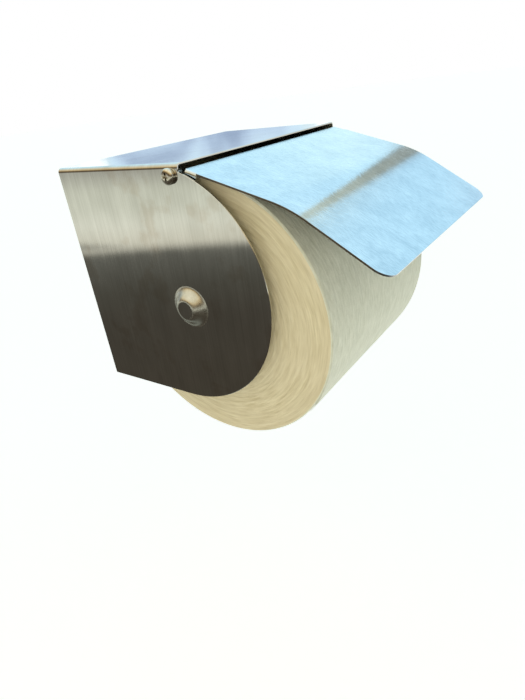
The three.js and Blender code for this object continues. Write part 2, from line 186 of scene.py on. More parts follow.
tilt = add_node(room, "Math", [rightward, -LEFT_TILT, LEFT_TILT * LEFT_MIDDLE], operation="MULTIPLY_ADD")[0]
left_height = add_node(room, "Math", [height, tilt], operation="ADD")[0]
wall = height_ramp(left_height, LEFT_COLOURS)
skirting_line = add_node(room, "Math", [rightward, SKIRTING_TILT, SKIRTING_TOP], operation="MULTIPLY_ADD")[0]
under_line = add_node(room, "Math", [skirting_line, height], operation="SUBTRACT")[0]
under_line = add_node(room, "MapRange", [under_line, 0.0, SKIRTING_BLUR])[0]
over_floor = add_node(room, "MapRange", [left_height, FLOOR_EDGE, FLOOR_EDGE + FLOOR_EDGE_BLUR])[0]
skirting = add_node(room, "Math", [under_line, over_floor], operation="MULTIPLY")[0]
left_side = add_node(room, "Mix", {0: skirting, 6: wall, 7: srgb(SKIRTING_COLOUR)}, data_type="RGBA")[2]
print("left side has", len(LEFT_COLOURS), "colours")

# %% [markdown]
# ## Right side of the room
# The lid and the top plate mirror a pale blue sky. Near the horizon it turns into a skyline of soft
# blue-grey and white patches, drawn with one large noise. A pale haze lies where the lid's rear half
# looks. A grey-beige post stands between the parts of the sky that the lid's two halves show, so it
# appears only in the bend between them.

# %% Sky, haze and skyline
SKY_COLOURS = [
    (-90, "#8E8B84"), (-45, "#B4B1A8"), (-25, "#DEDCD4"), (-3, "#D4D6D4"), (4, "#A3BDD2"), (9, "#B4CEE0"),
    (14, "#BBD8E8"), (18, "#B2DAEE"), (26, "#B4DCF0"), (35, "#C2E6F6"), (90, "#DDEFF8"),
]
HAZE_COLOUR = "#E6FFF8"
HAZE_SHARE = 0.4
HAZE_START = math.radians(84)
HAZE_FULL = math.radians(70)
HAZE_TOP = (0.46, 0.35)
SKYLINE_COLOURS = [
    (0.34, "#8495AD"), (0.43, "#A5B9CE"), (0.5, "#B4CBDA"), (0.56, "#B9CCD4"), (0.62, "#E2E9EC")]
SKYLINE_TOP = (0.30, 0.20)
SKYLINE_FOOT = (0.0, 0.03)
SKYLINE_PATCHES = {"Scale": 7.0, "Detail": 3.0, "Distortion": 0.6}

sky = height_ramp(height, SKY_COLOURS)
haze_across = add_node(room, "MapRange", [heading, HAZE_START, HAZE_FULL, 0.0, HAZE_SHARE])[0]
haze_up = add_node(room, "MapRange", [height, *HAZE_TOP])[0]
haze_share = add_node(room, "Math", [haze_across, haze_up], operation="MULTIPLY")[0]
sky = add_node(room, "Mix", {0: haze_share, 6: sky, 7: srgb(HAZE_COLOUR)}, data_type="RGBA")[2]

patches = add_node(room, "TexNoise", {"Vector": direction, **SKYLINE_PATCHES})["Fac"]
skyline_stops = [(position, srgb(colour)) for position, colour in SKYLINE_COLOURS]
skyline = add_node(room, "ValToRGB", [patches], skyline_stops)["Color"]
low = add_node(room, "MapRange", [height, *SKYLINE_TOP])[0]
above_horizon = add_node(room, "MapRange", [height, *SKYLINE_FOOT])[0]
low_sky = add_node(room, "Math", [low, above_horizon], operation="MULTIPLY")[0]
sky = add_node(room, "Mix", {0: low_sky, 6: sky, 7: skyline}, data_type="RGBA")[2]
print("sky and skyline have", len(SKY_COLOURS) + len(SKYLINE_COLOURS), "colours")

# %% The post in the bend
POST_HEIGHT = 0.326
POST_HEADING = math.radians(81)
POST_LEAN = math.radians(23.9)
POST_HALF = math.radians(3.7)
POST_TAPER = math.radians(8.5)
POST_SPAN = (-1.3, 3.0)
POST_FOOT = (0.24, 0.28)
POST_FADE = (0.36, 0.54, 0.0, 0.8)
POST_TOP_COLOUR = "#C2CAB8"
POST_COLOURS = [
    (0.0, "#8F968F", 0.0), (0.12, "#878E88", 1.0), (0.5, "#858C87", 1.0), (0.62, "#A0C0D3", 0.9),
    (1.0, "#B4D8EC", 0.0)]

post_rise = add_node(room, "Math", [height, POST_HEIGHT], operation="SUBTRACT")[0]
post_middle = add_node(room, "Math", [post_rise, POST_LEAN, POST_HEADING], operation="MULTIPLY_ADD")[0]
post_half = add_node(room, "Math", [post_rise, -POST_TAPER, POST_HALF], operation="MULTIPLY_ADD")[0]
beside = add_node(room, "Math", [heading, post_middle], operation="SUBTRACT")[0]
beside = add_node(room, "Math", [beside, post_half], operation="DIVIDE")[0]
beside = add_node(room, "MapRange", [beside, *POST_SPAN])[0]
post_stops = [(position, srgb(colour, alpha)) for position, colour, alpha in POST_COLOURS]
post_colour, post_alpha = add_node(room, "ValToRGB", [beside], post_stops)
post_foot = add_node(room, "MapRange", [height, *POST_FOOT])[0]
post_share = add_node(room, "Math", [post_alpha, post_foot], operation="MULTIPLY")[0]
post_fade = add_node(room, "MapRange", [height, *POST_FADE])[0]
post = add_node(room, "Mix", {0: post_fade, 6: post_colour, 7: srgb(POST_TOP_COLOUR)}, data_type="RGBA")[2]
sky = add_node(room, "Mix", {0: post_share, 6: sky, 7: post}, data_type="RGBA")[2]
print("post colours", len(POST_COLOURS))

# %% [markdown]
# ## Join the two sides
# A smooth step across the heading joins the sides. The steel needs a strong room and the paper a weaker
# one, so the strength depends on the kind of ray. The camera sees plain white.

# %% Join the sides
RIGHT_HEADING = math.radians(80)
SIDE_JOIN = (-0.3, 0.6)
ROOM_STRENGTH = 1.6
ROOM_ON_PAPER = 0.7
WHITE = (1.0, 1.0, 1.0, 1.0)

right = (math.sin(RIGHT_HEADING), math.cos(RIGHT_HEADING), 0)
rightness = add_node(room, "VectorMath", [direction, right], operation="DOT_PRODUCT")["Value"]
rightness = add_node(room, "MapRange", [rightness, *SIDE_JOIN], interpolation_type="SMOOTHSTEP")[0]
surround = add_node(room, "Mix", {0: rightness, 6: left_side, 7: sky}, data_type="RGBA")[2]
ray = add_node(room, "LightPath")
strength = add_node(room, "MapRange", [ray["Is Diffuse Ray"], 0.0, 1.0, ROOM_STRENGTH, ROOM_ON_PAPER])[0]
lit = add_node(room, "Background", [surround, strength])[0]
plain = add_node(room, "Background", [WHITE, 1.0])[0]
either = add_node(room, "MixShader", [ray["Is Camera Ray"], lit, plain])[0]
add_node(room, "OutputWorld", [either])
bpy.context.scene.world = world
bpy.context.scene.view_settings.view_transform = "Standard"
print("room nodes", len(room.nodes))

# %% [markdown]
# ## Start and end of a material
# Each material begins with an empty tree and the object's own coordinates, and ends with one principled
# shader. `grain` is the pattern that nearly all of them use: noise stretched to a real size, in
# millimetres. `two_tone` turns such a noise into a colour between two, and `plain_finish` lets one
# grain set the colour, the roughness and the bumps together, which is enough for a small piece.


# %% Material helpers
GRAIN_RANGE = (0.3, 0.7)  # nearly all values of a noise lie between these


def new_material(name):
    material = bpy.data.materials.new(name)
    material.use_nodes = True
    tree = material.node_tree
    tree.nodes.clear()
    return material, tree, add_node(tree, "TexCoord")["Object"]


def coat(material, inputs):
    tree = material.node_tree
    add_node(tree, "OutputMaterial", [add_node(tree, "BsdfPrincipled", inputs)[0]])
    print(f"{material.name}: {len(tree.nodes)} nodes")


def grain(tree, place, widths, detail=2.0):
    """Noise stretched so that its patches measure `widths` along X, Y and Z, in millimetres."""
    stretched = add_node(tree, "Mapping", {"Vector": place, "Scale": [1 / (w * MM) for w in widths]})[0]
    return add_node(tree, "TexNoise", {"Vector": stretched, "Scale": 1.0, "Detail": detail})["Fac"]


def two_tone(tree, value, deep, pale, start=GRAIN_RANGE[0], end=GRAIN_RANGE[1]):
    """A colour that goes from deep to pale while the value goes from start to end."""
    share = add_node(tree, "MapRange", [value, start, end])[0]
    return add_node(tree, "Mix", {0: share, 6: srgb(deep), 7: srgb(pale)}, data_type="RGBA")[2]


def plain_finish(name, widths, deep, pale, rough, bump, **fixed):
    """`rough` is the roughness where the grain is low and high, `bump` the bumps' strength and height."""
    material, tree, place = new_material(name)
    pattern = grain(tree, place, widths)
    bumps = add_node(tree, "Bump", {"Height": pattern, "Strength": bump[0], "Distance": bump[1] * MM})[0]
    coat(material, {
        "Base Color": two_tone(tree, pattern, deep, pale), "Normal": bumps,
        "Roughness": add_node(tree, "MapRange", [pattern, *GRAIN_RANGE, *rough])[0], **fixed})
    return material


# %% [markdown]
# ## Floor and lamps
# A white paper floor lies well below the holder, which hangs on a wall in use. It glows a little, to
# look as white as the backdrop, and throws light up onto the paper. Two soft panels light the paper and
# the plastic from the front. The steel mirrors neither panels nor floor, only the room.

# %% Floor
FLOOR_DROP = 0.12
FLOOR_SIZE = 30.0

floor_mesh = bmesh.new()
bmesh.ops.create_grid(floor_mesh, x_segments=1, y_segments=1, size=FLOOR_SIZE / 2,
                      matrix=Matrix.Translation((0, 0, cad_box[0].z - FLOOR_DROP)))
floor_data = bpy.data.meshes.new("paper_floor")
floor_mesh.to_mesh(floor_data)
floor_mesh.free()
floor = bpy.data.objects.new("paper_floor", floor_data)
bpy.context.scene.collection.objects.link(floor)

# White backdrop paper is dull and even, so the eye sees no surface at all.
backdrop = new_material("white backdrop paper")[0]
coat(backdrop, {"Base Color": srgb("#F4F4F2"), "Roughness": 0.9, "Specular IOR Level": 0.2,
                "Emission Color": WHITE, "Emission Strength": 0.5})
floor_data.materials.append(backdrop)
floor.visible_glossy = False

# %% Lamps
LAMPS = {
    "front_left_panel": {"place": (-0.8, -0.5, 0.1), "size": 0.5, "watts": 1.7, "colour": "#FFF6E6"},
    "front_right_panel": {"place": (0.35, -0.95, 0.1), "size": 0.8, "watts": 0.2, "colour": "#F0F8F6"},
}

for name, panel in LAMPS.items():
    lamp_data = bpy.data.lights.new(name, "AREA")
    lamp_data.size = panel["size"]
    lamp_data.energy = panel["watts"]
    lamp_data.color = srgb(panel["colour"])[:3]
    lamp = bpy.data.objects.new(name, lamp_data)
    bpy.context.scene.collection.objects.link(lamp)
    place = Vector(panel["place"])
    lamp.matrix_world = Matrix.Translation(place) @ (-place).to_track_quat("-Z", "Y").to_matrix().to_4x4()
    lamp.visible_glossy = False
print("lamps:", list(LAMPS))

# %% [markdown]
# ## Places from the frame
# The joints give the lid's pivot, the spindle's axis and the roll's axis, and the boxes of the design's
# nodes give the outside sizes. Only the sizes that a box can't give are written down here.

# %% Places and sizes
joint_place = {
    joint["name"]: Vector(joint["pos_m"])
    for joint in frame["record"]["behaviour"]["joints"] if "pos_m" in joint
}
PIVOT = joint_place["lid_hinge"]
SPINDLE = joint_place["spindle_spin"]
ROLL = joint_place["roll_spin"]

SHEET = 0.8 * MM
FOLD = 2 * MM
TOP_DEPTH = 75.6 * MM
BOSS_RISE = 4 * MM
BOSS_BASE = 9.75 * MM
BOSS_FLAT = 4 * MM
PIVOT_HOLE = 1.75 * MM
EDGE_BREAK = 0.14 * MM
SHEAR_ROUND = 0.16 * MM
DEBURRING = 0.25 * MM

housing_low, housing_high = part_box("housing")
HALF_WIDTH = housing_high.x - BOSS_RISE
HALF_HEIGHT = housing_high.z
REACH = -housing_low.y
print("housing", [round(1000 * v, 1) for v in (2 * HALF_WIDTH, REACH, 2 * HALF_HEIGHT)], "mm")

# %% [markdown]
# ## Helpers for the pieces
# `chain` draws a line of vertices. `soften` rounds the sharp edges, because light catches a rounded edge
# and slides off a perfectly sharp one. `shade` shades round parts smoothly and keeps big flat faces
# truly flat, so that they mirror like sheet metal. `finish_piece` turns the mesh into an object that
# rides on its body and takes the place of its design node.


# %% Mesh helpers
def chain(bm, points):
    verts = [bm.verts.new(point) for point in points]
    edges = [bm.edges.new(pair) for pair in zip(verts, verts[1:])]
    return verts, edges


def ring_edges(verts):
    return list({edge for vert in verts for edge in vert.link_edges})


def only(kind, geometry):
    """The vertices, edges or faces among what an operator made."""
    return [item for item in geometry if isinstance(item, kind)]


def circle_edges(bm, centre, radius, steps, turned="Y", start=0.0):
    """A round outline, stood upright by a quarter turn about the named axis."""
    upright = Matrix.Rotation(math.pi / 2, 4, turned) @ Matrix.Rotation(start, 4, "Z")
    ring = bmesh.ops.create_circle(bm, cap_ends=False, radius=radius, segments=steps,
                                   matrix=Matrix.Translation(centre) @ upright)
    return ring_edges(ring["verts"])


def fill_flat(bm, edges, normal):
    bmesh.ops.triangle_fill(bm, use_beauty=True, use_dissolve=False, normal=normal, edges=edges)


def pull_edges(bm, edges, step):
    pulled = bmesh.ops.extrude_edge_only(bm, edges=edges)
    bmesh.ops.translate(bm, vec=step, verts=only(bmesh.types.BMVert, pulled["geom"]))


def spin_open(bm, geometry, centre, axis, angle, steps):
    """Spins part of a turn and returns the copy at its end."""
    return bmesh.ops.spin(bm, geom=geometry, cent=centre, axis=axis, dvec=(0, 0, 0), angle=angle, steps=steps,
                          use_duplicate=False)["geom_last"]


def face_out(bm, face_test):
    """Makes all faces agree, then turns them if the largest one fails the test."""
    bmesh.ops.remove_doubles(bm, verts=bm.verts, dist=WELD)
    bmesh.ops.recalc_face_normals(bm, faces=bm.faces)
    if not face_test(max(bm.faces, key=lambda face: face.calc_area())):
        bmesh.ops.reverse_faces(bm, faces=bm.faces)


def soften(bm, width, segments=2, angle=50):
    sharp = [edge for edge in bm.edges
             if len(edge.link_faces) == 2 and edge.calc_face_angle() > math.radians(angle)]
    bmesh.ops.bevel(bm, geom=sharp, offset=width, offset_type="OFFSET", segments=segments, profile=0.5,
                    affect="EDGES", material=-1, clamp_overlap=True)


FLAT_MATCH = 0.99999


def shade(bm, flats=(), angle=35):
    flats = [Vector(flat).normalized() for flat in flats]

    def is_flat(face):
        return any(abs(face.normal.dot(flat)) > FLAT_MATCH for flat in flats)

    for face in bm.faces:
        face.smooth = True
    for edge in bm.edges:
        if len(edge.link_faces) == 2:
            same = is_flat(edge.link_faces[0]) == is_flat(edge.link_faces[1])
            edge.smooth = same and edge.calc_face_angle() < math.radians(angle)


def finish_piece(name, bm, body, materials, nodes=()):
    mesh = bpy.data.meshes.new(name)
    bm.to_mesh(mesh)
    bm.free()
    piece = bpy.data.objects.new(name, mesh)
    bpy.context.scene.collection.objects.link(piece)
    for material in materials:
        mesh.materials.append(material)
    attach(piece, body)
    if nodes:
        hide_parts(*nodes)
    print(name, len(mesh.polygons), "faces")
    return piece


# %% [markdown]
# ## Brushed stainless steel
# AISI 304 sheet is brushed on a belt, which leaves fine parallel scratches, so the eye sees fine
# streaks and soft clouds in what it mirrors. Blender could stretch the reflections themselves, but
# streaks of noise in colour, roughness and bumps can be laid along each plate's own grain. On the
# housing the grain runs through the blank's length: up one side plate, across the top and down the
# other side, and fingers have left faint brown smudges. The real scratches are about 0.05 mm wide.
# They are drawn 0.3 mm wide and more, since finer ones would not show.


# %% Brushed steel
SMUDGE_COLOUR = "#A5937C"
SMUDGE_SIZE = (26, 16, 16)
SMUDGE_EDGE = (0.56, 0.64)


def brushed_steel(name, pale, deep, fine, coarse, cloud, roughness, scratch_depth, smudge=0.0):
    material, tree, place = new_material(name)
    fine_grain = grain(tree, place, fine)
    coarse_grain = grain(tree, place, coarse)
    clouds = grain(tree, place, cloud)
    touched = grain(tree, place, SMUDGE_SIZE, detail=4.0)

    streaks = add_node(tree, "MapRange", [coarse_grain, *GRAIN_RANGE, 0.0, 0.5])[0]
    shadows = add_node(tree, "MapRange", [clouds, *GRAIN_RANGE, 0.0, 0.5])[0]
    tone = add_node(tree, "Math", [streaks, shadows], operation="ADD")[0]
    steel = two_tone(tree, tone, deep, pale, start=0.0, end=1.0)
    share = add_node(tree, "MapRange", [touched, *SMUDGE_EDGE, 0.0, smudge])[0]
    colour = add_node(tree, "Mix", {0: share, 6: steel, 7: srgb(SMUDGE_COLOUR)}, data_type="RGBA")[2]

    fine_rough = add_node(tree, "MapRange", [fine_grain, *GRAIN_RANGE, 0.8 * roughness, 1.1 * roughness])[0]
    cloud_rough = add_node(tree, "MapRange", [clouds, *GRAIN_RANGE, -0.1 * roughness, 0.2 * roughness])[0]
    rough = add_node(tree, "Math", [fine_rough, cloud_rough], operation="ADD")[0]
    heights = add_node(tree, "Math", [coarse_grain, 2.0, fine_grain], operation="MULTIPLY_ADD")[0]
    bumps = add_node(tree, "Bump", {"Height": heights, "Strength": 1.0, "Distance": scratch_depth * MM})[0]
    coat(material, {"Metallic": 1.0, "Base Color": colour, "Roughness": rough, "Normal": bumps})
    return material


housing_steel = brushed_steel(
    "brushed stainless sheet, housing", pale="#D3D1CB", deep="#BDBBB4",
    fine=(20, 0.3, 20), coarse=(40, 0.8, 50), cloud=(14, 9, 16),
    roughness=0.055, scratch_depth=0.003, smudge=0.25)

# %% [markdown]
# ## Steel that was worked
# The lid's brushing is short, tangled strokes that spread reflections wider, drawn 0.4 mm wide. Its
# colours are a cooler blue-grey than the housing's: painted reflection of the blue sky that the lid
# mirrors. Pressing the boss stretches the sheet and rubs its grain away, which leaves an even, duller
# skin. A shear leaves the cut side edges of the lid torn and rough, and the eye sees a thin brown line;
# their dark colours are partly painted shade, for the shadow on these edges. All three use the same
# recipe, with the strokes and the roughness changed.

# %% Worked steel
# The lid's pale and deep colours are tinted blue-grey: painted reflection of the sky.
lid_steel_painted_sky = brushed_steel(
    "brushed stainless sheet, lid, painted sky reflection", pale="#DADEE0", deep="#B4BDC3",
    fine=(0.4, 1.4, 1.4), coarse=(0.8, 2.6, 2.6), cloud=(9, 12, 12),
    roughness=0.125, scratch_depth=0.02)
boss_steel = brushed_steel(
    "drawn stainless boss", pale="#D8D5CB", deep="#BDBAAF",
    fine=(0.5, 0.5, 0.5), coarse=(2, 2, 2), cloud=(5, 5, 5),
    roughness=0.3, scratch_depth=0.01)
# Rough torn edge, with dark brown colours that are partly painted shade for the shadow on the lid's side
# edges.
sheared_edge_painted_shade = brushed_steel(
    "sheared steel edge, partly painted shade", pale="#857A6B", deep="#5E564B",
    fine=(0.3, 0.3, 0.3), coarse=(0.8, 1.6, 0.8), cloud=(4, 9, 4),
    roughness=0.4, scratch_depth=0.01)

# %% [markdown]
# ## The housing
# The real housing is one blank, cut out, pressed and folded down at both sides. It could be a box with
# holes cut in it, but a sheet is easier to make as a press does: draw the flat side plate with its
# half-round front, press the boss by turning its S-shaped section, fold the top edge through a
# quarter circle, pull it across to the middle, mirror it, and give the skin its thickness at the end.

# %% Left side plate's outline
ROUND_Y = HALF_HEIGHT - REACH
ROUND_STEPS = 120
round_start = Vector((-TOP_DEPTH - ROUND_Y, math.sqrt(HALF_HEIGHT ** 2 - (TOP_DEPTH + ROUND_Y) ** 2)))
round_turn = 1.5 * math.pi - math.atan2(round_start.y, round_start.x)

housing = bmesh.new()
corners, outline = chain(housing, [
    (-HALF_WIDTH, 0, -HALF_HEIGHT),
    (-HALF_WIDTH, 0, HALF_HEIGHT - FOLD),
    (-HALF_WIDTH, -TOP_DEPTH, HALF_HEIGHT - FOLD),
    (-HALF_WIDTH, -TOP_DEPTH, round_start.y),
])
fold_edge = outline[1]
spun = spin_open(housing, [corners[-1]], (0, ROUND_Y, 0), (1, 0, 0), round_turn, ROUND_STEPS)
round_end = only(bmesh.types.BMVert, spun)[0]
housing.edges.new((round_end, corners[0]))
outline = housing.edges[:]
print("outline edges", len(outline))

# %% Boss, pivot hole and the flat between them
BOSS_RINGS = 14
BOSS_STEPS = 96
HOLE_STEPS = 48

boss_points = []
for i in range(BOSS_RINGS + 1):
    along = i / BOSS_RINGS
    radius = BOSS_BASE + (BOSS_FLAT - BOSS_BASE) * along
    lift = BOSS_RISE * (0.5 - 0.5 * math.cos(math.pi * along))
    boss_points.append((-HALF_WIDTH - lift, SPINDLE.y, SPINDLE.z + radius))
before = set(housing.edges)
boss_verts, boss_edges = chain(housing, boss_points)
bmesh.ops.spin(housing, geom=boss_verts + boss_edges, cent=SPINDLE, axis=(1, 0, 0), dvec=(0, 0, 0),
               angle=math.tau, steps=BOSS_STEPS, use_merge=True, use_duplicate=False)
open_rings = [edge for edge in housing.edges if edge not in before and len(edge.link_faces) == 1]
outer_ring = [edge for edge in open_rings if abs(edge.verts[0].co.x + HALF_WIDTH) < EDGE_BREAK / 2]
inner_ring = [edge for edge in open_rings if edge not in outer_ring]
bmesh.ops.edgeloop_fill(housing, edges=inner_ring)
hole = circle_edges(housing, (-HALF_WIDTH, PIVOT.y, PIVOT.z), PIVOT_HOLE, HOLE_STEPS)
fill_flat(housing, outline + outer_ring + hole, (-1, 0, 0))
print("boss rings", len(outer_ring), len(inner_ring))

# %% Fold, top, mirror and thickness
FOLD_STEPS = 12
SLOPE_FROM_FLAT = 0.998

fold_centre = (-HALF_WIDTH + FOLD, 0, HALF_HEIGHT - FOLD)
spun = spin_open(housing, [fold_edge], fold_centre, (0, 1, 0), math.pi / 2, FOLD_STEPS)
pull_edges(housing, only(bmesh.types.BMEdge, spun), (HALF_WIDTH - FOLD, 0, 0))
bmesh.ops.mirror(housing, geom=housing.verts[:] + housing.edges[:] + housing.faces[:],
                 axis="X", merge_dist=WELD)
face_out(housing, lambda face: face.normal.z > 0.5 or face.normal.x * face.calc_center_median().x > 0)
bmesh.ops.solidify(housing, geom=housing.faces[:], thickness=SHEET)
soften(housing, SHEAR_ROUND, segments=1, angle=60)
shade(housing, flats=[(1, 0, 0), (0, 1, 0), (0, 0, 1)])
for face in housing.faces:
    middle = face.calc_center_median()
    from_axis = math.hypot(middle.y - SPINDLE.y, middle.z - SPINDLE.z)
    if from_axis < BOSS_BASE and abs(face.normal.x) < SLOPE_FROM_FLAT:
        face.material_index = 1
finish_piece("housing_shell", housing, "housing", [housing_steel, boss_steel], ["housing"])

# %% [markdown]
# ## The back plate
# Inside the rear of the housing a shallow tray is spot-welded, and four screws go through it into the
# wall. Its steel keeps the skin that the rolling mill left, an even grey that blurs what it mirrors.
# The rolls' marks, a few hundredths of a millimetre wide, are drawn 1.2 mm and more. The tray is made
# as the housing is: a flat face with round holes, its outer edges pulled forward into flanges, then
# thickness and broken edges.

# %% Mill-finish steel
mill_steel = brushed_steel(
    "mill-finish steel sheet", pale="#B4B4AE", deep="#94948E",
    fine=(1.2, 1.2, 4), coarse=(5, 5, 12), cloud=(12, 12, 12),
    roughness=0.38, scratch_depth=0.003)

# %% Back plate
BACK_SHEET = 1 * MM
WALL_HOLE = 2.4 * MM
WALL_HOLE_PLACES = [(x * MM, z * MM) for x in (-46, 46) for z in (-35, 35)]
WALL_HOLE_STEPS = 40
TRAY_CORNER = 1 * MM
TRAY_CORNER_STEPS = 6
back_low, back_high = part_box("back_plate")

back = bmesh.new()
tray = chain(back, [
    (back_low.x, 0, back_low.z), (back_high.x, 0, back_low.z),
    (back_high.x, 0, back_high.z), (back_low.x, 0, back_high.z)])[0]
back.edges.new((tray[-1], tray[0]))
bmesh.ops.bevel(back, geom=tray[2:], offset=TRAY_CORNER, offset_type="OFFSET", segments=TRAY_CORNER_STEPS,
                profile=0.5, affect="VERTICES", material=-1)
tray_edges = back.edges[:]
hole_edges = []
for x, z in WALL_HOLE_PLACES:
    hole_edges += circle_edges(back, (x, 0, z), WALL_HOLE, WALL_HOLE_STEPS, turned="X")
fill_flat(back, tray_edges + hole_edges, (0, 1, 0))
pull_edges(back, tray_edges, (0, back_low.y, 0))
face_out(back, lambda face: face.normal.y > 0.5 or face.normal.dot(face.calc_center_median()) > 0)
bmesh.ops.solidify(back, geom=back.faces[:], thickness=BACK_SHEET)
soften(back, EDGE_BREAK, segments=2, angle=60)
shade(back, flats=[(1, 0, 0), (0, 1, 0), (0, 0, 1)])
finish_piece("back_tray", back, "housing", [mill_steel], ["back_plate"])

# %% [markdown]
# ## The lid
# The lid is a blank with two rounded corners and two narrow tabs. The tabs are folded down into ears
# that hang on the screws, and a press brake puts a wide, soft bend across the middle. Here it is drawn
# flat, as the blank is, around the pivot: half of it, with X across and -Y forward. It is cut across
# where the bend will be, the ear is folded, and then every vertex past the bend's start is moved
# along the bend's arc. At the end the lid is mirrored, thickened and turned to its rest slope. Its
# edges get a narrow chamfer, as a deburring wheel leaves, and the cut side edges a rough, dark
# material whose darkness is partly painted shade.

# %% Lid blank
LID_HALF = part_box("lid")[1].x
LID_RISE = 4.08 * MM
LID_SLOPE = math.radians(16.963)
LID_START = 5.85 * MM
LID_BEND_START = 45.68 * MM
LID_BEND_TURN = math.radians(15.6)
LID_BEND_RADIUS = 60 * MM
LID_LENGTH = 96.9 * MM
LID_CORNER = 7 * MM
LID_CORNER_STEPS = 16
EAR_FOLD = 1.2 * MM
EAR_START = 6.35 * MM
EAR_END = 12 * MM
BEND_CUTS = 20

lid = bmesh.new()
blank = chain(lid, [
    (0, -LID_START, LID_RISE), (-LID_HALF, -LID_START, LID_RISE),
    (-LID_HALF, -LID_LENGTH, LID_RISE), (0, -LID_LENGTH, LID_RISE)])[0]
lid.faces.new(blank)
bmesh.ops.bevel(lid, geom=[blank[2]], offset=LID_CORNER, offset_type="OFFSET", segments=LID_CORNER_STEPS,
                profile=0.5, affect="VERTICES", material=-1)


def cut_across(bm, place, direction):
    bmesh.ops.bisect_plane(bm, geom=bm.verts[:] + bm.edges[:] + bm.faces[:], dist=WELD / 10,
                           plane_co=place, plane_no=direction)


for i in range(BEND_CUTS + 1):
    cut_across(lid, (0, -LID_BEND_START - LID_BEND_RADIUS * LID_BEND_TURN * i / BEND_CUTS, 0), (0, 1, 0))
for forward in (EAR_START, EAR_END):
    cut_across(lid, (0, -forward, 0), (0, 1, 0))
cut_across(lid, (-LID_HALF + EAR_FOLD, 0, 0), (1, 0, 0))
tab = [face for face in lid.faces if face.calc_center_median().x < -LID_HALF + EAR_FOLD
       and face.calc_center_median().y > -EAR_END]
bmesh.ops.delete(lid, geom=tab, context="FACES")
print("lid strips", len(lid.faces))

# %% [markdown]
# ## The lid's ear
# The tab is folded down by a quarter turn. Its outline is a rounded eye around the screw, a hollow
# throat that clears the housing's front edge, and a slanting toe. Arcs are spun from one vertex, and
# the flat between the outline and the screw's hole is filled at the end.

# %% Fold the ear
EAR_FOLD_STEPS = 6


def is_fold_edge(edge):
    middle = (edge.verts[0].co + edge.verts[1].co) / 2
    lengthwise = abs(edge.verts[0].co.x - edge.verts[1].co.x) < WELD
    return (abs(middle.x + LID_HALF - EAR_FOLD) < WELD and lengthwise
            and -EAR_END < middle.y < -EAR_START and len(edge.link_faces) == 1)


fold_edges = [edge for edge in lid.edges if is_fold_edge(edge)]
fold_centre = (-LID_HALF + EAR_FOLD, 0, LID_RISE - EAR_FOLD)
spun = spin_open(lid, fold_edges, fold_centre, (0, 1, 0), -math.pi / 2, EAR_FOLD_STEPS)
ear_top = only(bmesh.types.BMEdge, spun)[0]
rear, front = sorted(ear_top.verts, key=lambda vert: -vert.co.y)
print("ear", round((rear.co - front.co).length / MM, 2), "mm long")

# %% Ear outline
EAR_TOE = (-11.2 * MM, -2.9 * MM)
EAR_HEEL = (-5.8 * MM, -7.2 * MM)
EAR_EYE = 3.4 * MM
EAR_EYE_TURN = math.radians(293)
EAR_EYE_STEPS = 36
EAR_THROAT = 6.918 * MM
EAR_THROAT_START = math.radians(-25.0)
EAR_EYE_END = math.radians(-42.2)
EAR_THROAT_STEPS = 14


def ear_point(angle, radius):
    """A point on the ear, by its angle above the forward direction and its distance from the pivot."""
    return (-LID_HALF, -radius * math.cos(angle), radius * math.sin(angle))


def sweep(vert, angle, steps):
    """Spins a vertex round the pivot and returns the last vertex of the arc."""
    return only(bmesh.types.BMVert, spin_open(lid, [vert], (-LID_HALF, 0, 0), (1, 0, 0), angle, steps))[0]


before = set(lid.edges) - {ear_top}
ear_chain = chain(lid, [(-LID_HALF, *EAR_TOE), (-LID_HALF, *EAR_HEEL),
                        ear_point(EAR_EYE_END + EAR_EYE_TURN - math.tau, EAR_EYE)])[0]
lid.edges.new((front, ear_chain[0]))
eye_end = sweep(ear_chain[-1], EAR_EYE_TURN, EAR_EYE_STEPS)
throat_start = lid.verts.new(ear_point(EAR_THROAT_START, EAR_THROAT))
lid.edges.new((eye_end, throat_start))
throat_top = math.asin((LID_RISE - EAR_FOLD) / EAR_THROAT)
throat_end = sweep(throat_start, EAR_THROAT_START - throat_top, EAR_THROAT_STEPS)
lid.edges.new((throat_end, rear))
ear_edges = [edge for edge in lid.edges if edge not in before]
hole = circle_edges(lid, (-LID_HALF, 0, 0), PIVOT_HOLE, EAR_EYE_STEPS)
fill_flat(lid, ear_edges + hole, (-1, 0, 0))
print("ear gap at the throat", round((throat_end.co - rear.co).length / MM, 2), "mm")


# %% Lid bend
def bend_point(point):
    """Where a point of the flat lid goes when the wide bend is pressed in."""
    past = -point.y - LID_BEND_START
    if past <= 0:
        return point
    turn = min(past / LID_BEND_RADIUS, LID_BEND_TURN)
    straight = max(past - LID_BEND_RADIUS * LID_BEND_TURN, 0)
    radius = LID_BEND_RADIUS - LID_RISE + point.z
    forward = LID_BEND_START + radius * math.sin(turn) + straight * math.cos(turn)
    height = LID_RISE - LID_BEND_RADIUS + radius * math.cos(turn) - straight * math.sin(turn)
    return Vector((point.x, -forward, height))


for vert in lid.verts:
    vert.co = bend_point(vert.co)
print("lid reaches", round(-min(vert.co.y for vert in lid.verts) / MM, 1), "mm forward of its pivot")

# %% Mirror, thickness, slope
SIDE_FACING = 0.99

